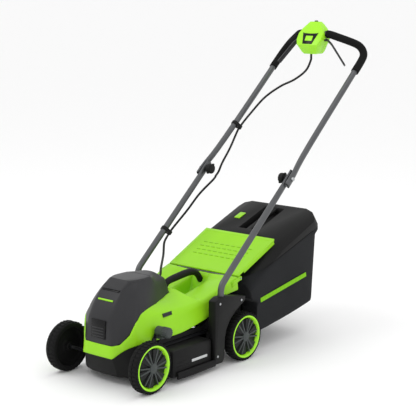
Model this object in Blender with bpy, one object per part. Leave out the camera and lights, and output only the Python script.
"""Cordless push lawn mower with a 33 cm deck, a rear grass box and a folding handle.

Metres, +Z up. The mower's nose points along -Y, the handle is at +Y, and +X is the
operator's left. It stands on its four wheels at its lowest cutting height. Every piece is
placed from the datum, an empty on the ground below the middle of the front axle.
"""
import math

import bmesh
import bpy
from mathutils import Matrix, Vector

# ---------------------------------------------------------------- sizes, in metres

GAP = 0.0003                # between pieces that touch
RUN = 0.0005                # round a shaft, pin or rod in its hole
SHELL = 0.003               # wall of a moulded cover

WHEELBASE = 0.441
TYRE_RADIUS = 0.080
WHEEL_WIDTH = 0.036
FRONT_TRACK = 0.390         # over the outer faces of the front wheels
REAR_TRACK = 0.400
AXLE_RADIUS = 0.005
CRANK_REACH = 0.035         # from the wheel's axis to the axle's pivot
CRANK_ANGLE = 155.0         # of the crank arm at the lowest cutting height
CRANK_X = 0.138             # where the axle rod starts to bend into its crank

DECK_HALF_WIDTH = 0.185
NOSE_HALF_WIDTH = 0.125
DECK_BOTTOM = 0.018
DECK_TOP = 0.108
DECK_WALL = 0.004
BULGE_FRONT = 0.097         # the wide part of the deck lies between the wheels
BULGE_REAR = WHEELBASE - 0.155
LEDGE_TOP = 0.134
DECK_REAR = 0.500

BLADE_Y = 0.212
BLADE_LENGTH = 0.330
BLADE_WIDTH = 0.044
BLADE_THICKNESS = 0.003
BLADE_Z = 0.034             # underside of the blade
CHAMBER_RADIUS = 0.170
MOTOR_RADIUS = 0.043
MOTOR_HEIGHT = 0.085
SHAFT_RADIUS = 0.005

BATTERY = (0.072, 0.080, 0.118)     # width, depth, height
BATTERY_FRONT = 0.046
BATTERY_BASE = 0.150
BAY_WALL = 0.0025
BATTERY_PLAY = 0.001

TUBE_RADIUS = 0.011
TUBE_WALL = 0.0012
TUBE_X = DECK_HALF_WIDTH - 0.005    # side tubes of the handle, from the middle
HANDLE_SLOPE = 40.4         # degrees above the ground
FOLD_Y = 0.687              # the handle's fold joint
FOLD_Z = 0.568
FLAT_HALF = 0.006           # half thickness of a tube where it is pressed flat
LAP = 0.030                 # how far each tube runs on past the fold bolt
GRIP_RADIUS = 0.0145
BOLT_RADIUS = 0.003

FLAP_HALF_WIDTH = 0.149
HINGE_Y = 0.4665            # the rear flap's hinge
HINGE_Z = 0.2635
PIN_RADIUS = 0.0025

BOX_HALF_WIDTH = 0.175      # grass box
BOX_WALL = 0.003
SEAM_SLOPE = 0.314          # rise per metre of the seam between the lid and the bag
SEAM_Y = 0.466
SEAM_Z = 0.246

CABLE_RADIUS = 0.004

HANDLE_REACH = 1.1618       # rearmost point of the grip, from the front axle
FRONT_AXLE_Y = (TYRE_RADIUS - HANDLE_REACH) / 2     # centres the mower on the origin

TREAD_SIDES = 32
ROUND_SIDES = 24
SMALL_SIDES = 12

# ---------------------------------------------------------------- materials


def finish(name, colour, roughness, metallic=0.0):
    """A plain Principled material; the colour is linear RGB."""
    material = bpy.data.materials.new(name)
    material.use_nodes = True
    shader = material.node_tree.nodes["Principled BSDF"]
    shader.inputs["Base Color"].default_value = (*colour, 1.0)
    shader.inputs["Roughness"].default_value = roughness
    shader.inputs["Metallic"].default_value = metallic
    return material


GREEN = finish("green_plastic", (0.38, 0.84, 0.03), 0.4)
BLACK = finish("black_plastic", (0.018, 0.018, 0.018), 0.5)
GREY = finish("dark_grey_plastic", (0.035, 0.035, 0.035), 0.45)
CAP_GREY = finish("hubcap_grey", (0.06, 0.065, 0.063), 0.4)
RUBBER = finish("rubber", (0.012, 0.012, 0.012), 0.85)
FOAM = finish("grip_foam", (0.02, 0.02, 0.02), 0.9)
CLOTH = finish("bag_cloth", (0.03, 0.03, 0.03), 0.95)
TUBE_STEEL = finish("coated_tube", (0.16, 0.16, 0.16), 0.35, 0.8)
STEEL = finish("steel", (0.5, 0.5, 0.5), 0.3, 1.0)
BLADE_STEEL = finish("blade_steel", (0.25, 0.25, 0.26), 0.4, 1.0)
CABLE_BLACK = finish("cable_sheath", (0.015, 0.015, 0.015), 0.6)

# ---------------------------------------------------------------- modelling helpers


def empty(name, at, parent=None):
    holder = bpy.data.objects.new(name, None)
    bpy.context.collection.objects.link(holder)
    holder.location = at
    holder.parent = parent
    return holder


def solid(name, bm, material, parent, at=(0, 0, 0), smooth=None):
    """Turn a bmesh into a named object; smooth is the angle below which edges look round."""
    bmesh.ops.recalc_face_normals(bm, faces=bm.faces)
    if bm.calc_volume(signed=True) < 0:
        bmesh.ops.reverse_faces(bm, faces=bm.faces)
    mesh = bpy.data.meshes.new(name)
    bm.to_mesh(mesh)
    bm.free()
    mesh.materials.append(material)
    if smooth:
        mesh.shade_smooth()
        mesh.set_sharp_from_angle(angle=math.radians(smooth))
    thing = bpy.data.objects.new(name, mesh)
    bpy.context.collection.objects.link(thing)
    thing.location = at
    thing.parent = parent
    return thing


def shape_with(target, bm, operation):
    """Cut a shape out of an object, or join it on, with an exact Boolean; returns the tool."""
    number = len(target.modifiers) + 1
    tool = solid(f"{target.name}.tool{number}", bm, target.data.materials[0],
                 target.parent, target.location)
    tool.hide_render = True
    tool.display_type = "WIRE"
    boolean = target.modifiers.new(f"boolean_{number}", "BOOLEAN")
    boolean.operation = operation
    boolean.solver = "EXACT"
    boolean.object = tool
    return tool


def cut(target, *shapes):
    for bm in shapes:
        shape_with(target, bm, "DIFFERENCE")


def join(target, *shapes):
    for bm in shapes:
        shape_with(target, bm, "UNION")


def block(low, high, bevel=0.0, segments=1):
    """A box between two corners, with its edges bevelled if asked."""
    bm = bmesh.new()
    size = Vector(high) - Vector(low)
    middle = (Vector(high) + Vector(low)) / 2
    bmesh.ops.create_cube(bm, size=1.0)
    bmesh.ops.scale(bm, vec=size, verts=bm.verts)
    bmesh.ops.translate(bm, vec=middle, verts=bm.verts)
    if bevel:
        bmesh.ops.bevel(bm, geom=bm.edges, offset=bevel, segments=segments,
                        profile=0.5, affect="EDGES")
    return bm


def prism(outline, axis, low, high):
    """An outline extruded along X (points y, z), Y (points x, z) or Z (points x, y)."""
    index = "XYZ".index(axis)
    bm = bmesh.new()
    corners = []
    for pair in outline:
        point = list(pair)
        point.insert(index, low)
        corners.append(bm.verts.new(point))
    face = bm.faces.new(corners)
    grown = bmesh.ops.extrude_face_region(bm, geom=[face])
    step = Vector((0, 0, 0))
    step[index] = high - low
    moved = [item for item in grown["geom"] if isinstance(item, bmesh.types.BMVert)]
    bmesh.ops.translate(bm, vec=step, verts=moved)
    return bm


def turned(profile, sides, axis="Z", centre=(0, 0, 0)):
    """A profile of (radius, along) points spun round an axis, with a flat facet underneath."""
    bm = bmesh.new()
    points = [bm.verts.new((radius, 0, along)) for radius, along in profile]
    edges = []
    for first, second in zip(points, points[1:] + points[:1]):
        if first.co.x > 0 or second.co.x > 0:
            edges.append(bm.edges.new((first, second)))
    bmesh.ops.rotate(bm, verts=bm.verts, cent=(0, 0, 0),
                     matrix=Matrix.Rotation(math.pi / sides, 3, "Z"))
    bmesh.ops.spin(bm, geom=points + edges, cent=(0, 0, 0), axis=(0, 0, 1),
                   angle=2 * math.pi, steps=sides, use_merge=True)
    bmesh.ops.remove_doubles(bm, verts=bm.verts, dist=1e-6)
    if axis == "X":
        bmesh.ops.rotate(bm, verts=bm.verts, cent=(0, 0, 0),
                         matrix=Matrix.Rotation(math.pi / 2, 3, "Y"))
    if axis == "Y":
        bmesh.ops.rotate(bm, verts=bm.verts, cent=(0, 0, 0),
                         matrix=Matrix.Rotation(-math.pi / 2, 3, "X"))
    bmesh.ops.translate(bm, vec=centre, verts=bm.verts)
    return bm


def rod(radius, low, high, axis, centre=(0, 0, 0), sides=SMALL_SIDES):
    """A round bar from low to high along an axis through the centre."""
    return turned([(0, low), (radius, low), (radius, high), (0, high)], sides, axis, centre)


def cap(bm, ring):
    """Close a ring with strips that run from one side of it to the other."""
    low, high = 1, len(ring) - 1
    bm.faces.new((ring[0], ring[low], ring[high]))
    while high - low > 2:
        bm.faces.new((ring[low], ring[low + 1], ring[high]))
        bm.faces.new((ring[low + 1], ring[high - 1], ring[high]))
        low, high = low + 1, high - 1
    if high - low == 2:
        bm.faces.new((ring[low], ring[low + 1], ring[high]))


def hole(radius, low, high, axis, centre=(0, 0, 0)):
    """The cutter for a hole that a round bar of the given radius fits with a small gap."""
    return rod((radius + GAP) / math.cos(math.pi / SMALL_SIDES), low, high, axis, centre)


def loft(rings):
    """A closed solid through rings of points, each ring with the same number of points."""
    bm = bmesh.new()
    rows = [[bm.verts.new(point) for point in ring] for ring in rings]
    for near, far in zip(rows, rows[1:]):
        for i in range(len(near)):
            j = (i + 1) % len(near)
            bm.faces.new((near[i], near[j], far[j]))
            bm.faces.new((near[i], far[j], far[i]))
    cap(bm, rows[0])
    cap(bm, rows[-1])
    return bm


def both_sides(half):
    """A half outline from the middle outwards, followed by its mirror image back again."""
    outline = [Vector(point) for point in half]
    mirrored = [Vector((-p[0], *p[1:])) for p in reversed(half) if p[0] > 0]
    return outline + mirrored


def inset(outline, distance):
    """A closed outline of flat points moved inwards; it may run either way round."""
    points = [Vector(p) for p in outline]
    area = sum(a.x * b.y - b.x * a.y for a, b in zip(points, points[1:] + points[:1]))
    way = 1 if area > 0 else -1
    result = []
    for before, point, after in zip(points[-1:] + points[:-1], points, points[1:] + points[:1]):
        first = (point - before).normalized()
        second = (after - point).normalized()
        inward = Vector((-first.y - second.y, first.x + second.x)) * way
        inward.normalize()
        reach = distance / max(inward.dot(Vector((-first.y, first.x)) * way), 0.3)
        result.append(point + inward * reach)
    return result


def moved(bm, shift):
    bmesh.ops.translate(bm, vec=shift, verts=bm.verts)
    return bm


def rounded_path(corners, radii, steps=4):
    """A polyline whose inner corners are replaced by arcs of the given radii."""
    corners = [Vector(corner) for corner in corners]
    path = [corners[0]]
    for i in range(1, len(corners) - 1):
        before = (corners[i - 1] - corners[i]).normalized()
        after = (corners[i + 1] - corners[i]).normalized()
        half = before.angle(after) / 2
        reach = radii[i - 1] / math.tan(half)
        centre = corners[i] + (before + after).normalized() * radii[i - 1] / math.sin(half)
        start = corners[i] + before * reach - centre
        end = corners[i] + after * reach - centre
        for step in range(steps + 1):
            path.append(centre + start.slerp(end, step / steps) * start.length)
    path.append(corners[-1])
    return path


def tube(path, sizes, sides, wall=0.0, first_across=(1, 0, 0)):
    """A tube along a path. sizes holds (half width, half height) for each point of the path;
    the width starts along first_across. With a wall the tube is hollow and open at both ends."""
    path = [Vector(point) for point in path]
    across = Vector(first_across)
    outer, inner = [], []
    for i, point in enumerate(path):
        back = (path[i] - path[i - 1]).normalized() if i else None
        ahead = (path[i + 1] - path[i]).normalized() if i + 1 < len(path) else None
        along = (back + ahead).normalized() if back and ahead else back or ahead
        if i:
            across.rotate(heading.rotation_difference(along))
        heading = along
        across = (across - along * across.dot(along)).normalized()
        normal = along.cross(across)
        stretch = 1 / max(along.dot(ahead or back), 0.5)
        turn = (ahead - back) if back and ahead else Vector((0, 0, 0))
        for ring, inset in ((outer, 0.0), (inner, wall)):
            row = []
            for k in range(sides):
                angle = 2 * math.pi * (k + 0.5) / sides
                offset = (across * (sizes[i][0] - inset) * math.cos(angle)
                          + normal * (sizes[i][1] - inset) * math.sin(angle))
                if turn.length > 1e-4:
                    bend = turn.normalized()
                    offset += bend * offset.dot(bend) * (stretch - 1)
                row.append(point + offset)
            ring.append(row)
    if not wall:
        return loft(outer)
    return hollow(outer, inner)


def hollow(outer, inner):
    """An open-ended tube between an outer and an inner skin of rings."""
    bm = bmesh.new()
    skins = [[[bm.verts.new(point) for point in ring] for ring in skin] for skin in (outer, inner)]
    loops = skins[0] + skins[1][::-1]
    for near, far in zip(loops, loops[1:] + loops[:1]):
        for i in range(len(near)):
            j = (i + 1) % len(near)
            bm.faces.new((near[i], near[j], far[j], far[i]))
    return bm


def smooth_route(points, spacing):
    """Evenly spaced points on a smooth curve through the given ones."""
    points = [Vector(point) for point in points]
    padded = [2 * points[0] - points[1], *points, 2 * points[-1] - points[-2]]
    fine = []
    for p0, p1, p2, p3 in zip(padded, padded[1:], padded[2:], padded[3:]):
        for step in range(20):
            t = step / 20
            fine.append(0.5 * (2 * p1 + (p2 - p0) * t + (2 * p0 - 5 * p1 + 4 * p2 - p3) * t ** 2
                               + (3 * p1 - p0 - 3 * p2 + p3) * t ** 3))
    fine.append(points[-1])
    length = sum((b - a).length for a, b in zip(fine, fine[1:]))
    count = max(2, round(length / spacing))
    route, travelled, wanted = [fine[0]], 0.0, length / count
    for a, b in zip(fine, fine[1:]):
        stretch = (b - a).length
        while travelled + stretch >= wanted and len(route) < count:
            route.append(a.lerp(b, (wanted - travelled) / stretch))
            wanted += length / count
        travelled += stretch
    return route + [fine[-1]]


def polar(angle, radius):
    """The (y, z) offset at an angle, in degrees from +Y towards +Z."""
    return radius * math.cos(math.radians(angle)), radius * math.sin(math.radians(angle))


# ---------------------------------------------------------------- start clean

for old in list(bpy.data.objects):
    bpy.data.objects.remove(old, do_unlink=True)

datum = empty("datum", (0, FRONT_AXLE_Y, 0))

# The axle pivots lie behind and below the wheels' axes.
arm_y, arm_z = polar(CRANK_ANGLE, CRANK_REACH)
PIVOT_Z = TYRE_RADIUS - arm_z
FRONT_PIVOT_Y = -arm_y
REAR_PIVOT_Y = WHEELBASE - arm_y

# ---------------------------------------------------------------- wheels

RING_RADIUS = 0.070         # green trim ring
RING_LIP = 0.0655
RING_INNER = 0.0600
WEB_FACE = 0.0067           # outer face of the wheel's web, from its middle
HUB_RADIUS = 0.014
SPOKES = 6


def wheel_body():
    """Tyre and rim in one moulding: tread, side walls, web and hub, with a bore."""
    tread = TYRE_RADIUS / math.cos(math.pi / TREAD_SIDES)
    half = WHEEL_WIDTH / 2
    bore = AXLE_RADIUS + RUN
    profile = [(bore, -0.014), (HUB_RADIUS, -0.014), (HUB_RADIUS, 0.0), (0.063, 0.0),
               (0.063, -half), (tread - 0.004, -half), (tread, -half + 0.005),
               (tread, half - 0.005), (tread - 0.004, half), (RING_RADIUS + GAP, half),
               (RING_RADIUS + GAP, WEB_FACE), (bore, WEB_FACE)]
    return turned(profile, TREAD_SIDES, "X")


def wheel_ring():
    half = WHEEL_WIDTH / 2
    profile = [(RING_INNER, WEB_FACE + GAP), (RING_RADIUS, WEB_FACE + GAP),
               (RING_RADIUS, half + 0.0005), (RING_LIP, half + 0.0005), (RING_INNER, 0.010)]
    return turned(profile, TREAD_SIDES, "X")


def hubcap():
    """A shallow dish with raised spokes and a raised boss, hollow behind the boss."""
    base, floor, top = WEB_FACE + GAP, 0.0095, 0.0150
    radii = (0.0, 0.016, RING_INNER - 0.0008)
    steps = SPOKES * 4
    bm = bmesh.new()
    centre = bm.verts.new((floor, 0, 0))
    rings = []
    for radius in radii[1:]:
        ring = []
        for k in range(steps):
            across, up = polar(360 * k / steps, radius)
            ring.append(bm.verts.new((floor, across, up)))
        rings.append(ring)
    raised = []
    for k in range(steps):
        nxt = (k + 1) % steps
        raised.append(bm.faces.new((centre, rings[0][k], rings[0][nxt])))
        face = bm.faces.new((rings[0][k], rings[1][k], rings[1][nxt], rings[0][nxt]))
        if k % 4 < 2:
            raised.append(face)
    back = bmesh.ops.extrude_face_region(bm, geom=bm.faces[:], use_keep_orig=True)
    moved = [item for item in back["geom"] if isinstance(item, bmesh.types.BMVert)]
    bmesh.ops.translate(bm, vec=(base - floor, 0, 0), verts=moved)
    lifted = bmesh.ops.extrude_face_region(bm, geom=raised)
    moved = [item for item in lifted["geom"] if isinstance(item, bmesh.types.BMVert)]
    bmesh.ops.translate(bm, vec=(top - floor, 0, 0), verts=moved)
    bmesh.ops.delete(bm, geom=[f for f in raised if f.is_valid], context="FACES_KEEP_BOUNDARY")
    return bm


def facing(bm, side):
    """Mirror a shape that was made for the +X side when it goes on the other side."""
    if side < 0:
        bmesh.ops.scale(bm, vec=(-1, 1, 1), verts=bm.verts)
    return bm


for corner, side, axle_y, track in (("front_left", 1, 0.0, FRONT_TRACK),
                                    ("front_right", -1, 0.0, FRONT_TRACK),
                                    ("rear_left", 1, WHEELBASE, REAR_TRACK),
                                    ("rear_right", -1, WHEELBASE, REAR_TRACK)):
    middle = (side * (track - WHEEL_WIDTH) / 2, axle_y, TYRE_RADIUS)
    hub = empty(f"{corner}_hub", middle, datum)
    solid(f"{corner}_wheel", facing(wheel_body(), side), RUBBER, hub, smooth=25)
    solid(f"{corner}_ring", facing(wheel_ring(), side), GREEN, hub, smooth=25)
    solid(f"{corner}_hubcap", facing(hubcap(), side), CAP_GREY, hub)

# ---------------------------------------------------------------- axles and height control

LEVER_PLATE_X = 0.130       # inner face of the lever and crank plates
PLATE_THICKNESS = 0.003
LINK_X = LEVER_PLATE_X + PLATE_THICKNESS + 0.0008
LINK_PIN_REACH = 0.056      # from the axle pivot to the link pin
LINK_PIN_RADIUS = 0.0030
LEVER_ANGLE = 62.8
LEVER_REACH = 0.1155
KNOB_RADIUS = 0.0160
KNOB_LENGTH = 0.050


def axle(name, track, parent):
    """A round steel axle with a crank at each end; its origin is on the pivot line."""
    end = track / 2 - WHEEL_WIDTH / 2 + WEB_FACE - GAP
    inner = track / 2 - WHEEL_WIDTH - 0.004
    corners = [(-end, arm_y, arm_z), (-inner, arm_y, arm_z), (-CRANK_X, 0, 0),
               (CRANK_X, 0, 0), (inner, arm_y, arm_z), (end, arm_y, arm_z)]
    path = rounded_path(corners, [0.006] * 4, steps=2)
    bm = tube(path, [(AXLE_RADIUS, AXLE_RADIUS)] * len(path), 10, first_across=(0, 0, 1))
    return solid(name, bm, STEEL, parent, smooth=40)


def crank_plate(bm_reach, pin_reach):
    """A flat plate from the axle to the given reach, with the link's pin standing on it."""
    ends = []
    for angle_offset in range(-90, 91, 30):
        y, z = polar(LEVER_ANGLE + angle_offset, 0.007)
        tip_y, tip_z = polar(LEVER_ANGLE, bm_reach)
        ends.append((tip_y + y, tip_z + z))
    root = []
    for angle_offset in range(90, 271, 30):
        root.append(polar(LEVER_ANGLE + angle_offset, 0.011))
    return prism(ends + root, "X", LEVER_PLATE_X, LEVER_PLATE_X + PLATE_THICKNESS)


def fit_plate(plate):
    pin_y, pin_z = polar(LEVER_ANGLE, LINK_PIN_REACH)
    join(plate, rod(LINK_PIN_RADIUS, LEVER_PLATE_X + 0.001, LINK_X + PLATE_THICKNESS + 0.001,
                    "X", (0, pin_y, pin_z)))
    cut(plate, rod(AXLE_RADIUS + GAP, 0.1, 0.15, "X"))


front_pivot = empty("front_axle_pivot", (0, FRONT_PIVOT_Y, PIVOT_Z), datum)
rear_pivot = empty("rear_axle_pivot", (0, REAR_PIVOT_Y, PIVOT_Z), datum)
axle("front_axle", FRONT_TRACK, front_pivot)
axle("rear_axle", REAR_TRACK, rear_pivot)

lever = solid("height_lever", crank_plate(LEVER_REACH, LINK_PIN_REACH), STEEL, front_pivot)
fit_plate(lever)
rear_plate = solid("rear_crank_plate", crank_plate(LINK_PIN_REACH + 0.004, LINK_PIN_REACH),
                   STEEL, rear_pivot)
fit_plate(rear_plate)

knob_y, knob_z = polar(LEVER_ANGLE, LEVER_REACH)
knob_start = LEVER_PLATE_X + PLATE_THICKNESS + GAP
knob_end = knob_start + KNOB_LENGTH
knob = solid("height_knob",
             turned([(0, knob_start), (KNOB_RADIUS - 0.001, knob_start),
                     (KNOB_RADIUS, knob_start + 0.002), (KNOB_RADIUS, knob_end - 0.003),
                     (KNOB_RADIUS - 0.003, knob_end), (0, knob_end)], 16, "X",
                    (0, knob_y, knob_z)),
             GREY, front_pivot, smooth=25)
join(knob, block((knob_start, knob_y - 0.0085, knob_z - 0.022),
                 (knob_start + 0.024, knob_y + 0.0055, knob_z - 0.004)))

link_y, link_z = polar(LEVER_ANGLE, LINK_PIN_REACH)
link_pin = empty("height_link_pin", (0, FRONT_PIVOT_Y + link_y, PIVOT_Z + link_z), datum)
link = solid("height_link",
             block((LINK_X, -0.007, -0.004), (LINK_X + PLATE_THICKNESS, WHEELBASE + 0.007, 0.004)),
             STEEL, link_pin)
cut(link, rod(LINK_PIN_RADIUS + RUN, 0.12, 0.15, "X"),
    rod(LINK_PIN_RADIUS + RUN, 0.12, 0.15, "X", (0, WHEELBASE, 0)))

# ---------------------------------------------------------------- motor hood

# Rings of the hood from its foot to its top: (x, y) pairs of one half, from nose to tail.
HOOD_RINGS = (
    (0.120, ((0, -0.041), (0.054, -0.039), (0.070, -0.026), (0.098, 0.004), (0.106, 0.060),
             (0.090, 0.140), (0.056, 0.208), (0.044, 0.248), (0, 0.254))),
    (0.200, ((0, -0.036), (0.047, -0.033), (0.077, -0.013), (0.104, 0.014), (0.106, 0.060),
             (0.088, 0.140), (0.055, 0.206), (0.043, 0.247), (0, 0.253))),
    (0.235, ((0, -0.021), (0.044, -0.019), (0.074, 0.002), (0.098, 0.038), (0.098, 0.075),
             (0.081, 0.136), (0.052, 0.204), (0.040, 0.246), (0, 0.252))),
    (0.267, ((0, 0.000), (0.043, 0.002), (0.062, 0.018), (0.083, 0.050), (0.083, 0.090),
             (0.072, 0.140), (0.048, 0.198), (0.035, 0.241), (0, 0.247))),
    (0.290, ((0, 0.022), (0.042, 0.024), (0.050, 0.035), (0.069, 0.060), (0.070, 0.100),
             (0.063, 0.146), (0.042, 0.193), (0.031, 0.232), (0, 0.238))),
    (0.309, ((0, 0.050), (0.043, 0.052), (0.047, 0.062), (0.055, 0.080), (0.058, 0.112),
             (0.054, 0.148), (0.034, 0.175), (0.024, 0.204), (0, 0.210))),
)
HOOD_TOP = 0.315
# The hood's lower edge, (y, z): low at the nose, then up along the green cover.
HOOD_FOOT = ((-0.060, 0.123), (-0.030, 0.124), (-0.008, 0.148), (0.010, 0.184),
             (0.036, 0.206), (0.066, 0.222), (0.300, 0.222))
LID_REAR = 0.146
LID_FRONT = 0.024
LID_THICKNESS = 0.004


def hood_form(grow):
    """The hood's outside as a closed solid, grown outwards by the given amount."""
    rings = []
    middle_y = 0.09
    for height, half in HOOD_RINGS:
        ring = []
        for x, y in half:
            ring.append((x + (grow if x else 0), y + (grow if y > middle_y else -grow), height))
        rings.append(both_sides(ring))
    top = [(x * 0.9, 0.1 + (y - 0.1) * 0.9) for x, y in HOOD_RINGS[-1][1]]
    ring = [(x + (grow if x else 0), y + (grow if y > middle_y else -grow), HOOD_TOP + grow)
            for x, y in top]
    rings.append(both_sides(ring))
    return loft(rings)


def below_foot(low, drop=0.0):
    """The space under the hood's lower edge, across the whole mower."""
    edge = [(-0.2, HOOD_FOOT[0][1]), *HOOD_FOOT, (0.4, HOOD_FOOT[-1][1])]
    outline = [(-0.2, low), *((y, z - drop) for y, z in edge), (0.4, low)]
    return prism(outline, "X", -0.2, 0.2)


def lid_space(grow):
    """The part of the hood that is the battery lid: its top between nose and motor."""
    half = [(0, LID_FRONT - grow), (0.0415 + grow, LID_FRONT - grow),
            (0.0455 + grow, 0.050), (0.052 + grow, 0.080), (0.055 + grow, 0.112),
            (0.0515 + grow, LID_REAR + grow), (0, LID_REAR + grow)]
    outline = both_sides(half)
    foot = {"front": 0.2845 - grow, "rear": 0.300 - grow}
    low = [(x, y, foot["front"] + (foot["rear"] - foot["front"])
            * (y - LID_FRONT) / (LID_REAR - LID_FRONT)) for x, y in outline]
    high = [(x, y, 0.33) for x, y in outline]
    return loft([low, high])


hood = solid("motor_hood", hood_form(0.0), GREY, datum)
cut(hood, below_foot(0.05), hood_form(-SHELL), lid_space(GAP))

lid_hinge = empty("lid_hinge", (0, LID_REAR, HOOD_TOP), datum)
hinge_shift = -lid_hinge.location
lid = solid("battery_lid", moved(hood_form(0.0), hinge_shift), GREY, lid_hinge)
shape_with(lid, moved(lid_space(0.0), hinge_shift), "INTERSECT")
cut(lid, moved(hood_form(-LID_THICKNESS), hinge_shift))

# ---------------------------------------------------------------- green top cover

# Each row runs from the hood's or recess's edge (rim) over the shoulder to the lower edge.
# A row is (rim, shoulder, lower edge), each (x, y, z), from the nose to the tail.
COVER_ROWS = (
    ((0, -0.036, 0.1312), (0, -0.042, 0.1305), (0, -0.0445, 0.092)),
    ((0.050, -0.034, 0.1312), (0.058, -0.040, 0.1305), (0.062, -0.044, 0.092)),
    ((0.070, -0.018, 0.137), (0.077, -0.023, 0.134), (0.080, -0.022, 0.112)),
    ((0.094, 0.001, 0.163), (0.0965, -0.004, 0.158), (0.097, -0.003, 0.125)),
    ((0.102, 0.018, 0.199), (0.107, 0.012, 0.190), (0.117, 0.016, 0.134)),
    ((0.100, 0.044, 0.222), (0.109, 0.040, 0.207), (0.1275, 0.036, 0.136)),
    ((0.092, 0.072, 0.236), (0.112, 0.073, 0.214), (0.129, 0.085, 0.137)),
    ((0.074, 0.136, 0.238), (0.113, 0.145, 0.209), (0.141, 0.152, 0.138)),
    ((0.049, 0.204, 0.237), (0.118, 0.195, 0.207), (0.142, 0.195, 0.140)),
    ((0.037, 0.246, 0.243), (0.122, 0.240, 0.208), (0.143, 0.240, 0.147)),
    ((0.034, 0.272, 0.249), (0.125, 0.272, 0.211), (0.144, 0.272, 0.154)),
    ((0.036, 0.301, 0.214), (0.128, 0.301, 0.216), (0.145, 0.303, 0.160)),
    ((0.036, 0.350, 0.225), (0.135, 0.345, 0.231), (0.149, 0.345, 0.176)),
    ((0.036, 0.395, 0.236), (0.143, 0.385, 0.248), (0.154, 0.385, 0.221)),
    ((0.036, 0.432, 0.245), (0.149, 0.430, 0.263), (0.155, 0.430, 0.226)),
    ((0.034, 0.4515, 0.2655), (0.150, 0.4535, 0.270), (0.155, 0.4535, 0.2275)),
)
RECESS_FIRST = 9            # the row where the cover closes over the middle, behind the hood
RECESS_HALF = 0.030
RECESS_FLOOR = 0.190


def cover_skin():
    """The outside of the cover, left half: rows of the table above joined by faces."""
    bm = bmesh.new()
    rows = []
    for i, (rim, shoulder, edge) in enumerate(COVER_ROWS):
        middle = Vector(rim).lerp(Vector(shoulder), 0.5)
        middle.z += 0.004 if 3 < i < 15 else 0.0
        row = [Vector(rim), middle, Vector(shoulder), Vector(edge)]
        if i >= RECESS_FIRST:
            sunk = RECESS_FIRST + 1 < i < len(COVER_ROWS) - 1
            depth = RECESS_FLOOR if sunk else rim[2]
            step = 0.006 if i == len(COVER_ROWS) - 2 else 0.0
            row = [Vector((0, rim[1] - step, depth)),
                   Vector((RECESS_HALF, rim[1] - step, depth))] + row
        rows.append([bm.verts.new(point) for point in row])
    for near, far in zip(rows, rows[1:]):
        near, far = near[-min(len(near), len(far)):], far[-min(len(near), len(far)):]
        for k in range(len(near) - 1):
            bm.faces.new((near[k], near[k + 1], far[k + 1], far[k]))
    return bm


cover_bm = cover_skin()
bmesh.ops.recalc_face_normals(cover_bm, faces=cover_bm.faces)
cover = solid("top_cover", cover_bm, GREEN, datum)
mirror = cover.modifiers.new("mirror", "MIRROR")
mirror.merge_threshold = 0.0001
thicken = cover.modifiers.new("thicken", "SOLIDIFY")
thicken.thickness = SHELL
thicken.use_even_offset = True
hood_opening = shape_with(cover, hood_form(GAP), "DIFFERENCE")
cut(hood_opening, below_foot(0.05, drop=0.001))


# ---------------------------------------------------------------- deck

NOSE_FOOT = ((0, -0.016), (0.055, -0.013), (0.088, -0.001), (0.112, 0.016),
             (NOSE_HALF_WIDTH, 0.034), (NOSE_HALF_WIDTH, 0.100))
NOSE_WAIST = ((0, -0.0405), (0.0585, -0.0390), (0.079, -0.0175), (0.099, 0.0005),
              (0.1195, 0.024), (NOSE_HALF_WIDTH, 0.100))
NOSE_BROW = ((0, -0.0390, 0.110), (0.0570, -0.0375, 0.110), (0.0750, -0.0170, 0.118),
             (0.0925, 0.0010, 0.131), (0.1130, 0.0200, 0.1375), (0.1235, 0.100, 0.1385))
NOSE_FOOT_Z = DECK_BOTTOM + 0.010
NOSE_WAIST_Z = 0.0915
CHUTE_HALF = 0.112
CHUTE_FRONT_Y = 0.250


def nose():
    foot = [(x, y, NOSE_FOOT_Z) for x, y in NOSE_FOOT]
    waist = [(x, y, NOSE_WAIST_Z) for x, y in NOSE_WAIST]
    return loft([both_sides(foot), both_sides(waist), both_sides(NOSE_BROW)])


def nose_hollow():
    """The inside of the nose, in front of the blade chamber's wall."""
    rings = []
    for points, height in ((NOSE_FOOT, -0.01), (NOSE_FOOT, NOSE_FOOT_Z + 0.001),
                           (NOSE_WAIST, NOSE_WAIST_Z), (NOSE_BROW, NOSE_BROW[0][2] - SHELL)):
        rings.append(both_sides([(max(x - SHELL, 0), y + SHELL, height) for x, y, *_ in points]))
    return loft(rings)


def chute():
    """The grass chute: a tunnel that rises from the blade chamber to the grass box."""
    front = [(-CHUTE_HALF, CHUTE_FRONT_Y, 0.020), (CHUTE_HALF, CHUTE_FRONT_Y, 0.020),
             (CHUTE_HALF, CHUTE_FRONT_Y, 0.103), (-CHUTE_HALF, CHUTE_FRONT_Y, 0.103)]
    middle = [(-CHUTE_HALF, 0.360, 0.034), (CHUTE_HALF, 0.360, 0.034),
              (CHUTE_HALF, 0.360, 0.156), (-CHUTE_HALF, 0.360, 0.156)]
    rear = [(-CHUTE_HALF, DECK_REAR + 0.01, 0.096), (CHUTE_HALF, DECK_REAR + 0.01, 0.096),
            (CHUTE_HALF, DECK_REAR + 0.01, 0.1815), (-CHUTE_HALF, DECK_REAR + 0.01, 0.1815)]
    return loft([front, middle, rear])


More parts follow.
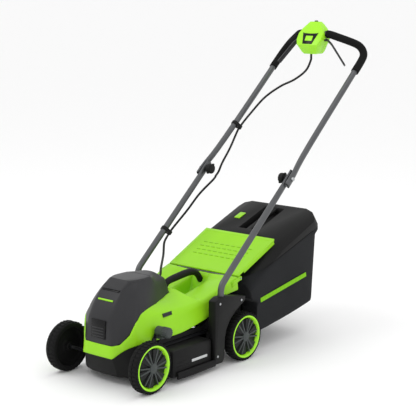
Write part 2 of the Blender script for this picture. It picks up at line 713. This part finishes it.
deck = solid("deck", nose(), BLACK, datum)
join(deck,
     block((-DECK_HALF_WIDTH, BULGE_FRONT, DECK_BOTTOM), (DECK_HALF_WIDTH, BULGE_REAR, DECK_TOP),
           bevel=0.012, segments=2),
     block((-0.128, 0.095, 0.090), (0.128, 0.340, LEDGE_TOP)),
     *(block((x, REAR_PIVOT_Y - 0.014, PIVOT_Z - 0.013), (x + 0.014, REAR_PIVOT_Y + 0.014, 0.110))
       for x in (-0.128, 0.114)),
     prism(((0.260, 0.032), (0.356, 0.032), (DECK_REAR, 0.090), (DECK_REAR, 0.1855), (0.440, 0.1855),
            (0.352, 0.164), (0.300, 0.134), (0.260, 0.134)), "X", -0.128, 0.128))
cut(deck,
    block((-0.120, 0.101, DECK_TOP), (0.120, 0.300, 0.2)),
    rod(CHAMBER_RADIUS, -0.01, DECK_TOP - DECK_WALL, "Z", (0, BLADE_Y, 0), sides=36),
    chute(),
    block((-CHUTE_HALF, 0.440, 0.040), (CHUTE_HALF, DECK_REAR - 0.004, 0.0785)),
    prism(((0.372, 0.0), (0.372, 0.030), (DECK_REAR - 0.004, 0.082), (DECK_REAR - 0.004, 0.0)),
          "X", -CHUTE_HALF, CHUTE_HALF),
    rod(AXLE_RADIUS + RUN, -0.2, 0.2, "X", (0, FRONT_PIVOT_Y, PIVOT_Z)),
    rod(AXLE_RADIUS + RUN, -0.2, 0.2, "X", (0, REAR_PIVOT_Y, PIVOT_Z)),
    rod(SHAFT_RADIUS + 0.001, 0.05, 0.15, "Z", (0, BLADE_Y, 0)))
hollow_tool = shape_with(deck, nose_hollow(), "DIFFERENCE")
cut(hollow_tool, rod(CHAMBER_RADIUS + SHELL, -0.1, 0.2, "Z", (0, BLADE_Y, 0), sides=36))

# ---------------------------------------------------------------- side brackets

BRACKET_X = (DECK_HALF_WIDTH - 0.020, DECK_HALF_WIDTH + 0.010)
# The bracket's side outline: (y from the rear axle, z).
BRACKET_OUTLINE = ((-0.153, 0.020), (-0.116, 0.020), (-0.107, 0.034), (-0.104, 0.100),
                   (-0.095, 0.128), (-0.079, 0.152), (-0.051, 0.176), (-0.001, 0.203),
                   (0.001, 0.216), (-0.096, 0.235), (-0.128, 0.235), (-0.151, 0.226))


def bracket(side):
    """A side moulding that holds the handle's foot and arches over the rear wheel."""
    x_low, x_high = sorted(side * x for x in BRACKET_X)
    name = "bracket_left" if side > 0 else "bracket_right"
    outline = [(WHEELBASE + y, z) for y, z in BRACKET_OUTLINE]
    thing = solid(name, prism(outline, "X", x_low, x_high), BLACK, datum)
    strip = [(DECK_HALF_WIDTH + x, z) for x, z in ((GAP, 0.036), (GAP, 0.016), (0.005, 0.014),
                                                   (0.010, 0.016), (0.010, 0.034), (0.005, 0.038))]
    join(thing, facing(prism(strip, "Y", BULGE_FRONT + 0.015, BULGE_REAR + 0.006), side))
    socket = TUBE_RADIUS + GAP
    cut(thing, rod(socket, 0.150, 0.30, "Z", (side * TUBE_X, TUBE_FOOT_Y, 0)))


TUBE_FOOT_Y = WHEELBASE - 0.1085
for side in (1, -1):
    bracket(side)

# ---------------------------------------------------------------- handle

slope_y, slope_z = polar(HANDLE_SLOPE, 1.0)


def along_handle(distance, x):
    """A point on the handle's side line, measured from the fold bolt."""
    return x, FOLD_Y + slope_y * distance, FOLD_Z + slope_z * distance


OUTER_X = TUBE_X + 2 * FLAT_HALF + 0.0006      # where the upper tube laps over the lower one
TUBE_BEND = 0.045           # radius of the lower tube's bend above its foot
BOLT_HEAD = 0.0045
knob_inner = TUBE_X - 0.032


def lower_tube(side):
    name = "lower_tube_left" if side > 0 else "lower_tube_right"
    corners = [(TUBE_X, TUBE_FOOT_Y, 0.152),
               along_handle((TUBE_FOOT_Y - FOLD_Y) / slope_y, TUBE_X),
               along_handle(-0.070, TUBE_X), along_handle(-0.030, TUBE_X),
               along_handle(LAP, TUBE_X)]
    path = rounded_path(corners[:3], [TUBE_BEND], steps=5) + [Vector(c) for c in corners[3:]]
    sizes = [(TUBE_RADIUS, TUBE_RADIUS)] * (len(path) - 2) + [(FLAT_HALF, 0.0135)] * 2
    thing = solid(name, facing(tube(path, sizes, SMALL_SIDES, TUBE_WALL), side),
                  TUBE_STEEL, datum, smooth=40)
    cut(thing, rod(BOLT_RADIUS + GAP, -0.3, 0.3, "X", (0, FOLD_Y, FOLD_Z)))


for side in (1, -1):
    lower_tube(side)

fold = empty("handle_fold", (0, FOLD_Y, FOLD_Z), datum)
to_fold = -fold.location
CROSSBAR_Y = 1.086
CROSSBAR_Z = 1.028
CROSSBAR_HALF = 0.065       # half of the crossbar's straight middle
CORNER_RADIUS = 0.045
CORNER_DISTANCE = 0.634     # from the fold bolt up to the handle's top corner
HANDLE_TOP = (along_handle(CORNER_DISTANCE, TUBE_X), (CROSSBAR_HALF, CROSSBAR_Y, CROSSBAR_Z),
              (-CROSSBAR_HALF, CROSSBAR_Y, CROSSBAR_Z), along_handle(CORNER_DISTANCE, -TUBE_X))


def handle_path():
    """Centre line of the upper handle, from the left lap over the crossbar to the right one."""
    left = [along_handle(-LAP, OUTER_X), along_handle(LAP + 0.004, OUTER_X),
            along_handle(0.075, TUBE_X)]
    right = [(-x, y, z) for x, y, z in reversed(left)]
    top = rounded_path([left[-1], *HANDLE_TOP, right[0]],
                       [CORNER_RADIUS, 0.028, 0.028, CORNER_RADIUS], steps=4)
    return [Vector(p) for p in left[:-1]] + top + [Vector(p) for p in right[1:]]


upper_path = handle_path()
upper_sizes = ([(FLAT_HALF, 0.0135)] * 2 + [(TUBE_RADIUS, TUBE_RADIUS)] * (len(upper_path) - 4)
               + [(FLAT_HALF, 0.0135)] * 2)
upper = solid("upper_handle", moved(tube(upper_path, upper_sizes, SMALL_SIDES, TUBE_WALL), to_fold),
              TUBE_STEEL, fold, smooth=40)
cut(upper, rod(BOLT_RADIUS + RUN, -0.3, 0.3, "X"))

for side in (1, -1):
    word = "left" if side > 0 else "right"
    pin_low, pin_high = knob_inner + 0.006, OUTER_X + FLAT_HALF + GAP
    bolt = [(0, pin_low), (BOLT_RADIUS, pin_low), (BOLT_RADIUS, pin_high), (0.0075, pin_high),
            (0.0065, pin_high + BOLT_HEAD), (0, pin_high + BOLT_HEAD)]
    solid(f"fold_bolt_{word}", facing(turned(bolt, SMALL_SIDES, "X"), side), STEEL, datum,
          at=(0, FOLD_Y, FOLD_Z), smooth=30)
    inner_face = TUBE_X - FLAT_HALF - GAP
    grip = turned([(BOLT_RADIUS + RUN, knob_inner + 0.004), (BOLT_RADIUS + RUN, inner_face),
                   (0.008, inner_face), (0.008, inner_face - 0.006), (0.0175, inner_face - 0.008),
                   (0.0175, knob_inner + 0.002), (0.0150, knob_inner), (0, knob_inner),
                   (0, knob_inner + 0.004)], SMALL_SIDES, "X")
    solid(f"fold_knob_{word}", facing(grip, side), BLACK, datum, at=(0, FOLD_Y, FOLD_Z))

# Foam sleeves over the crossbar's two bent ends; they stop short of the switch box.
BOX_SIDE = 0.0545
GRIP_START = 0.512          # distance of the sleeve's lower end from the fold bolt
round_sizes = [(TUBE_RADIUS + GAP, TUBE_RADIUS + GAP)] * len(upper_path)


def grip_sleeve(side):
    word = "left" if side > 0 else "right"
    start = Vector(along_handle(GRIP_START, TUBE_X))
    middle = [p for p in upper_path if p.x > BOX_SIDE + 0.004 and p.z > start.z + 0.004]
    path = [start, *middle, Vector((BOX_SIDE, CROSSBAR_Y, CROSSBAR_Z))]
    sleeve = facing(tube(path, [(GRIP_RADIUS, GRIP_RADIUS)] * len(path), SMALL_SIDES), side)
    grip = solid(f"grip_{word}", moved(sleeve, to_fold), FOAM, fold, smooth=40)
    cut(grip, moved(tube(upper_path, round_sizes, SMALL_SIDES), to_fold))


for side in (1, -1):
    grip_sleeve(side)

# ---------------------------------------------------------------- switch box

SPLIT_Y = CROSSBAR_Y
BOX_OUTLINE = ((0, 1.071), (0.019, 1.071), (0.042, 1.047), (0.052, 1.030), (0.052, 1.008),
               (0.040, 0.985), (0.031, 0.963), (0.025, 0.957), (0, 0.957))
BOX_FRONT = ((SPLIT_Y - GAP, 0.950), (1.058, 0.955), (1.036, 0.990), (1.064, 1.034),
             (SPLIT_Y - GAP, 1.072))
BOX_REAR = ((SPLIT_Y, 0.950), (1.100, 0.955), (1.106, 0.975), (1.106, 1.062), (1.102, 1.0705),
            (SPLIT_Y, 1.072))
BOX_THICKNESS = 0.0025
BAIL_Y = 1.077
BAIL_Z = 1.007
BAIL_ROD = 0.004
BUTTON_Y = 1.0955


def box_half(name, profile):
    """One half of the switch box, a tray that is open at the split."""
    outline = both_sides_flat(BOX_OUTLINE)
    half = solid(name, prism(outline, "Y", 1.02, 1.12), GREEN, fold, at=to_fold)
    shape_with(half, prism(profile, "X", -0.08, 0.08), "INTERSECT")
    open_side = 1 if name.endswith("front") else -1
    inner = [Vector((y, z)) for y, z in inset(profile, BOX_THICKNESS)]
    for point in inner:
        if abs(point.x - SPLIT_Y) < 2 * BOX_THICKNESS:
            point.x = SPLIT_Y + open_side * 0.004
    hollow_form = shape_with(half, prism(inset(outline, BOX_THICKNESS), "Y", 1.02, 1.12),
                             "DIFFERENCE")
    shape_with(hollow_form, prism(inner, "X", -0.08, 0.08), "INTERSECT")
    return half


def both_sides_flat(half):
    """A half outline of (x, z) points followed by its mirror image back again."""
    return list(half) + [(-x, z) for x, z in reversed(half) if x > 0]


box_front = box_half("switch_box_front", BOX_FRONT)
box_rear = box_half("switch_box_rear", BOX_REAR)
for half in (box_front, box_rear):
    cut(half, hole(TUBE_RADIUS, -0.1, 0.1, "X", (0, CROSSBAR_Y, CROSSBAR_Z)))
cut(box_front, hole(BAIL_ROD, -0.1, 0.1, "X", (0, BAIL_Y, BAIL_Z)),
    hole(CABLE_RADIUS + 0.0003, 0.94, 0.965, "Z", (0, 1.066, 0)))
cut(box_rear, rod(0.0073, 1.06, 1.08, "Z", (0, BUTTON_Y, 0)))

button_guide = empty("start_button_guide", (0, BUTTON_Y, 1.071), fold)
button_guide.location += to_fold
solid("start_button",
      turned([(0, -0.012), (0.0078, -0.012), (0.0078, -0.0095), (0.0068, -0.0095),
              (0.0068, 0.0025), (0.0055, 0.0038), (0, 0.0038)], SMALL_SIDES),
      GREY, button_guide, smooth=30)

# The dark panel on the front of the box: its half outline is (across, up the sloping face).
PANEL = ((0, 0.004), (0.020, 0.004), (0.025, 0.024), (0.033, 0.050), (0.027, 0.0475), (0, 0.046))
face_foot, face_top = Vector(BOX_FRONT[2]), Vector(BOX_FRONT[3])
face_up = (face_top - face_foot).normalized()
face_out = Vector((-face_up.y, face_up.x))


def on_face(x, up, out):
    point = face_foot + face_up * up + face_out * out
    return x, point.x, point.y


solid("switch_panel", loft([[on_face(x, up, out) for x, up in both_sides_flat(PANEL)]
                            for out in (GAP, 0.0018)]), GREY, fold, at=to_fold)

bail_pivot = empty("bail_pivot", (0, BAIL_Y, BAIL_Z), fold)
bail_pivot.location += to_fold
bail = solid("bail_lever", rod(BAIL_ROD, -0.064, 0.064, "X"), BLACK, bail_pivot)
for side in (1, -1):
    arm = [(0.0555, 0, 0.002), (0.064, 0, -0.001), (0.081, -0.001, -0.014),
           (0.144, -0.010, -0.085)]
    sizes = [(0.0055, 0.0042), (0.0075, 0.0042), (0.0098, 0.0042), (0.0098, 0.0042)]
    join(bail, facing(tube(arm, sizes, 4, first_across=(-0.387, 0.784, -0.486)), side))

# ---------------------------------------------------------------- cable and its clips

CLIP_LENGTH = 0.012
CLIP_X = 0.015              # the cable's eye, from the tube: towards the middle and below it
CLIP_DROP = 0.0155
UPPER_CLIP = 0.218          # distances along the handle from the fold bolt
LOWER_CLIP = -0.286
below_y, below_z = slope_z, -slope_y


def eye(distance):
    """The middle of the cable's eye at a distance along the right-hand tube."""
    x, y, z = along_handle(distance, -TUBE_X)
    return Vector((x + CLIP_X, y + below_y * CLIP_DROP, z + below_z * CLIP_DROP))


def sloped(bm, distance):
    """Stand a shape that was made along Z on the right-hand tube instead."""
    bmesh.ops.rotate(bm, verts=bm.verts, cent=(0, 0, 0),
                     matrix=Matrix.Rotation(math.radians(HANDLE_SLOPE - 90), 3, "X"))
    return moved(bm, Vector(along_handle(distance, -TUBE_X)))


def clip(name, distance, parent, at):
    outline = []
    heading = math.degrees(math.atan2(CLIP_DROP, CLIP_X))
    for centre, radius, start in (((0, 0), TUBE_RADIUS + 0.0025, 90),
                                  ((CLIP_X, CLIP_DROP), CABLE_RADIUS + 0.0030, -90)):
        for step in range(7):
            x, y = polar(heading + start + 30 * step, radius)
            outline.append((centre[0] + x, centre[1] + y))
    half = CLIP_LENGTH / 2
    thing = solid(name, sloped(prism(outline, "Z", -half, half), distance), BLACK, parent, at=at)
    cut(thing, sloped(hole(TUBE_RADIUS, -0.02, 0.02, "Z"), distance),
        sloped(hole(CABLE_RADIUS + 0.0005, -0.02, 0.02, "Z", (CLIP_X, CLIP_DROP, 0)), distance))


clip("cable_clip_upper", UPPER_CLIP, fold, to_fold)
clip("cable_clip_lower", LOWER_CLIP, datum, (0, 0, 0))

along = Vector((0, slope_y, slope_z))


def through_eye(distance):
    return [eye(distance) + along * shift for shift in (0.020, 0.0, -0.020)]


fold_pass = Vector(along_handle(0, -0.150)) + Vector((0, below_y, below_z)) * 0.034
UPPER_ROUTE = [(0, 1.066, 0.962), (0, 1.066, 0.948), (-0.002, 1.066, 0.932),
               (-0.020, 1.062, 0.896),
               (-0.050, 1.035, 0.864), (-0.082, 0.992, 0.840), (-0.120, 0.948, 0.800),
               (-0.152, 0.907, 0.744), *through_eye(UPPER_CLIP), (-0.156, 0.795, 0.630),
               (-0.151, 0.745, 0.583), fold_pass + along * 0.020, fold_pass + along * 0.0002]
LOWER_ROUTE = [fold_pass - along * 0.0002, fold_pass - along * 0.020, (-0.157, 0.628, 0.487),
               (-0.160, 0.565, 0.437), *through_eye(LOWER_CLIP), (-0.156, 0.440, 0.342),
               (-0.118, 0.393, 0.315), (-0.050, 0.305, 0.296), (-0.028, 0.278, 0.284),
               (-0.024, 0.262, 0.2775), (-0.024, 0.246, 0.2775)]


def cable(name, route, parent, at):
    curve = bpy.data.curves.new(name, "CURVE")
    curve.dimensions = "3D"
    curve.bevel_depth = CABLE_RADIUS
    curve.bevel_resolution = 2
    curve.use_fill_caps = True
    points = smooth_route(route, 4.3 * CABLE_RADIUS)
    spline = curve.splines.new("POLY")
    spline.points.add(len(points) - 1)
    for knot, point in zip(spline.points, points):
        knot.co = (*point, 1)
    curve.materials.append(CABLE_BLACK)
    thing = bpy.data.objects.new(name, curve)
    bpy.context.collection.objects.link(thing)
    thing.location = at
    thing.parent = parent


cable("cable_upper", UPPER_ROUTE, fold, to_fold)
cable("cable_lower", LOWER_ROUTE, datum, (0, 0, 0))
gland = solid("cable_gland", rod(0.0078, 0.232, 0.259, "Y", (-0.024, 0, 0.2775)), BLACK, datum)
cut(gland, hood_form(GAP), rod(CABLE_RADIUS + 0.0012, 0.2, 0.3, "Y", (-0.024, 0, 0.2775)))

# ---------------------------------------------------------------- motor, blade and battery

can_foot = DECK_TOP + GAP
can_top = can_foot + MOTOR_HEIGHT
shaft_foot = 0.056
shaft_top = can_foot + 0.045
bore = SHAFT_RADIUS + RUN
solid("motor", turned([(bore, can_foot), (MOTOR_RADIUS, can_foot), (MOTOR_RADIUS, can_top - 0.004),
                       (MOTOR_RADIUS - 0.004, can_top), (0, can_top), (0, shaft_top + 0.001),
                       (bore, shaft_top + 0.001)], ROUND_SIDES, "Z", (0, BLADE_Y, 0)),
      STEEL, datum, smooth=30)
spindle = empty("blade_spindle", (0, BLADE_Y, 0), datum)
solid("motor_shaft", rod(SHAFT_RADIUS, shaft_foot, shaft_top, "Z"), STEEL, spindle, smooth=30)
blade_top = BLADE_Z + BLADE_THICKNESS
shank = 0.004
solid("blade_adapter",
      turned([(shank + GAP, blade_top + GAP), (0.022, blade_top + GAP), (0.022, blade_top + 0.006),
              (0.012, blade_top + 0.010), (0.012, shaft_foot + 0.008),
              (SHAFT_RADIUS + GAP, shaft_foot + 0.008), (SHAFT_RADIUS + GAP, shaft_foot - GAP),
              (shank + GAP, shaft_foot - GAP)], ROUND_SIDES), BLACK, spindle, smooth=30)
solid("blade_bolt",
      turned([(0, shaft_foot - 0.002), (shank, shaft_foot - 0.002), (shank, BLADE_Z - GAP),
              (0.009, BLADE_Z - GAP), (0.009, BLADE_Z - 0.007), (0, BLADE_Z - 0.007)], 12),
      STEEL, spindle, smooth=30)
reach, half = BLADE_LENGTH / 2, BLADE_WIDTH / 2
blade = solid("blade",
              prism(((reach, -half * 0.4), (reach, half), (-reach + 0.055, half),
                     (-reach, half * 0.4), (-reach, -half), (reach - 0.055, -half)),
                    "Z", BLADE_Z, blade_top), BLADE_STEEL, spindle)
for side in (1, -1):
    wing = prism(((half - 0.004, BLADE_Z), (half, BLADE_Z), (half + 0.006, BLADE_Z + 0.014),
                  (half + 0.003, BLADE_Z + 0.015), (half - 0.004, blade_top)),
                 "X", 0.105, reach - 0.008)
    if side < 0:
        bmesh.ops.rotate(wing, verts=wing.verts, cent=(0, 0, 0),
                         matrix=Matrix.Rotation(math.pi, 3, "Z"))
    join(blade, wing)
cut(blade, rod(shank + GAP, 0.0, 0.1, "Z"))

width, depth, height = BATTERY
margin = BATTERY_PLAY + BAY_WALL
battery_rear = BATTERY_FRONT + depth
bay = solid("battery_bay",
            block((-width / 2 - margin, BATTERY_FRONT - margin, BATTERY_BASE - GAP - BAY_WALL),
                  (width / 2 + margin, battery_rear + margin, BATTERY_BASE + height + 0.004)),
            BLACK, datum)
join(bay, block((-0.030, 0.050, 0.1388), (0.030, 0.095, BATTERY_BASE - 0.001)))
cut(bay, block((-width / 2 - BATTERY_PLAY, BATTERY_FRONT - BATTERY_PLAY, BATTERY_BASE - GAP),
               (width / 2 + BATTERY_PLAY, battery_rear + BATTERY_PLAY, 0.4)))
battery_slide = empty("battery_slide", (0, 0, BATTERY_BASE), datum)
battery = solid("battery_pack", block((-width / 2, BATTERY_FRONT, 0),
                                      (width / 2, battery_rear, height), bevel=0.004),
                GREY, battery_slide)
join(battery, block((-0.018, BATTERY_FRONT + 0.026, height - 0.002),
                    (0.018, BATTERY_FRONT + 0.052, height + 0.007)))

# ---------------------------------------------------------------- carry handle

carry_path = [(0, 0.262, 0.240), (0, 0.268, 0.256), (0, 0.284, 0.2665), (0, 0.330, 0.2705),
              (0, 0.385, 0.277), (0, 0.418, 0.272), (0, 0.436, 0.254), (0, 0.450, 0.228)]
carry_sizes = [(0.012, 0.008), (0.0125, 0.010), (0.013, 0.0125), (0.013, 0.0135),
               (0.013, 0.0135), (0.013, 0.0125), (0.0125, 0.010), (0.012, 0.009)]
carry = solid("carry_handle", tube(carry_path, carry_sizes, 8), BLACK, datum, smooth=50)
ridge = [(y, z + 0.0005) for (_, y, z) in (COVER_ROWS[RECESS_FIRST][0],
                                           COVER_ROWS[RECESS_FIRST + 1][0])]
recess_front = COVER_ROWS[RECESS_FIRST + 2][0][1]
recess_rear = COVER_ROWS[-2][0][1] - 0.006
cover_end = COVER_ROWS[-1][0]
cut(carry,
    prism(((0.200, ridge[0][1]), *ridge, (recess_front, RECESS_FLOOR), (recess_front, 0.150),
           (0.200, 0.150)), "X", -0.05, 0.05),
    prism(((recess_rear - 0.0006, RECESS_FLOOR), (cover_end[1] - 0.0006, cover_end[2]),
           (0.550, cover_end[2]), (0.550, 0.150), (recess_rear - 0.0006, 0.150)),
          "X", -0.05, 0.05))

# ---------------------------------------------------------------- rear flap

FLAP_THICKNESS = 0.004
FLAP_SKIRT = 0.008
FLAP_FRONT = (0.4605, 0.2725)
FLAP_REAR = (0.655, 0.363)
KNUCKLE = 0.0055
EAR_X = (0.1505, 0.1545)

flap_hinge = empty("flap_hinge", (0, HINGE_Y, HINGE_Z), datum)
to_hinge = -flap_hinge.location
flap_face = ((FLAP_FRONT[0], FLAP_FRONT[1] - FLAP_THICKNESS),
             (FLAP_REAR[0], FLAP_REAR[1] - FLAP_THICKNESS), FLAP_REAR, FLAP_FRONT)
flap = solid("rear_flap", prism(flap_face, "X", -FLAP_HALF_WIDTH, FLAP_HALF_WIDTH), GREEN,
             flap_hinge, at=to_hinge)
for side in (1, -1):
    low, high = sorted((side * (FLAP_HALF_WIDTH - 0.0025), side * FLAP_HALF_WIDTH))
    join(flap, prism((flap_face[0], (FLAP_REAR[0], FLAP_REAR[1] - FLAP_SKIRT), FLAP_REAR, FLAP_FRONT),
                     "X", low, high))
    low, high = sorted((side * (FLAP_HALF_WIDTH - 0.030), side * (FLAP_HALF_WIDTH - 0.0006)))
    join(flap, rod(KNUCKLE, low, high, "X", (0, HINGE_Y, HINGE_Z)),
         block((low, HINGE_Y - 0.003, HINGE_Z), (high, HINGE_Y + 0.005, HINGE_Z + 0.0095)))
    low, high = sorted((side * EAR_X[0], side * EAR_X[1]))
    join(cover, prism(((0.425, 0.240), (0.462, 0.2565), (0.4725, 0.2565), (0.4725, 0.270),
                       (0.425, 0.2575)), "X", low, high))
for target in (flap, cover):
    cut(target, rod(PIN_RADIUS + RUN, -0.2, 0.2, "X", (0, HINGE_Y, HINGE_Z)))
solid("flap_pin", rod(PIN_RADIUS, -0.157, 0.157, "X", (0, HINGE_Y, HINGE_Z)), STEEL, datum,
      smooth=40)

# ---------------------------------------------------------------- grass box

# Side profile of the box, (y, z), from the bottom of its front up, back and down again.
BOX_PROFILE = ((0.530, 0.066), (0.530, 0.170), (0.500, 0.190), (0.492, 0.245), (0.505, 0.262),
               (0.655, 0.350), (0.664, 0.358), (0.880, 0.431), (0.900, 0.405), (0.903, 0.370),
               (0.885, 0.350), (0.868, 0.112), (0.850, 0.104), (0.600, 0.067))
# Across the box: how far from its side wall, and how far the top, rear and floor fall back.
BOX_SECTIONS = ((0.055, 0.0, 0.0, 0.0), (0.025, 0.008, 0.006, 0.0), (0.007, 0.022, 0.018, 0.004),
                (0.0, 0.035, 0.030, 0.110))
MOUTH = ((-0.112, 0.104), (0.112, 0.178))       # opening for the grass: two corners, x and z


def box_form(wall):
    """The outside of the grass box, or its inside when a wall is given."""
    rings = []
    for from_side, top_drop, rear_drop, floor_rise in BOX_SECTIONS:
        ring = []
        for i, (y, z) in enumerate(BOX_PROFILE):
            drop = top_drop if 3 <= i <= 8 else top_drop * 0.2 if i == 9 else 0.0
            back = rear_drop if 7 <= i <= 12 else 0.0
            rise = {0: 0.8, 11: 1.0, 12: 1.0, 13: 1.0}.get(i, 0.0) * floor_rise
            ring.append((y - back, z - drop + rise))
        if wall:
            ring = [tuple(p) for p in inset(ring, wall)]
        x = BOX_HALF_WIDTH - from_side - (wall if from_side < 0.02 else 0)
        rings.append([(x, y, z) for y, z in ring])
    return loft([[(-x, y, z) for x, y, z in ring] for ring in reversed(rings)] + rings)


def seam(side, gap):
    """All the space on one side of the seam plane: side is +1 above it and -1 below."""
    far = SEAM_Z + SEAM_SLOPE * (1.0 - SEAM_Y) + gap
    near = SEAM_Z + SEAM_SLOPE * (0.4 - SEAM_Y) + gap
    return prism(((0.4, near), (1.0, far), (1.0, 0.25 + side * 0.5), (0.4, 0.25 + side * 0.5)),
                 "X", -0.3, 0.3)


def top_line(y, drop):
    """A point on the box's rear top surface, or below it."""
    (y0, z0), (y1, z1) = BOX_PROFILE[6], BOX_PROFILE[7]
    return y, z0 + (z1 - z0) * (y - y0) / (y1 - y0) - drop


box_slide = empty("grass_box_slide", (0, 0, 0), datum)
bag = solid("grass_bag", box_form(0.0), CLOTH, box_slide, smooth=35)
shape_with(bag, seam(-1, -GAP), "INTERSECT")
cut(bag, box_form(BOX_WALL),
    block((MOUTH[0][0], 0.45, MOUTH[0][1]), (MOUTH[1][0], 0.56, MOUTH[1][1])))
box_lid = solid("grass_box_lid", box_form(0.0), BLACK, box_slide, smooth=35)
shape_with(box_lid, seam(1, 0.0), "INTERSECT")
cut(box_lid, box_form(BOX_WALL))

# A finger recess in the lid with a bar across it, by which the box is carried.
POCKET_Y = (0.703, 0.857)
POCKET_HALF = 0.042
POCKET_DEPTH = 0.033
tub_y = (POCKET_Y[0] - BOX_WALL, POCKET_Y[1] + BOX_WALL)
tub_drop = POCKET_DEPTH + BOX_WALL
join(box_lid, prism((top_line(tub_y[0], tub_drop), top_line(tub_y[1], tub_drop),
                     top_line(tub_y[1], 0.001), top_line(tub_y[0], 0.001)),
                    "X", -POCKET_HALF - BOX_WALL, POCKET_HALF + BOX_WALL))
cut(box_lid, prism((top_line(POCKET_Y[0], POCKET_DEPTH), top_line(POCKET_Y[1], POCKET_DEPTH),
                    top_line(POCKET_Y[1], -0.03), top_line(POCKET_Y[0], -0.03)),
                   "X", -POCKET_HALF, POCKET_HALF))
join(box_lid, prism((top_line(POCKET_Y[0] - 0.001, 0.013), top_line(POCKET_Y[1] + 0.001, 0.013),
                     top_line(POCKET_Y[1] + 0.001, 0.002), top_line(POCKET_Y[0] - 0.001, 0.002)),
                    "X", -0.010, 0.010))

INDICATOR_Y = (0.755, 0.792)
indicator_hinge = empty("indicator_hinge", (0, *top_line(INDICATOR_Y[0], 0.0)), box_slide)
solid("level_indicator",
      prism((top_line(INDICATOR_Y[0], -0.0004), top_line(INDICATOR_Y[1], -0.0004),
             top_line(INDICATOR_Y[1], -0.0034), top_line(INDICATOR_Y[0], -0.0034)),
            "X", -0.104, -0.080),
      GREEN, indicator_hinge, at=-indicator_hinge.location)
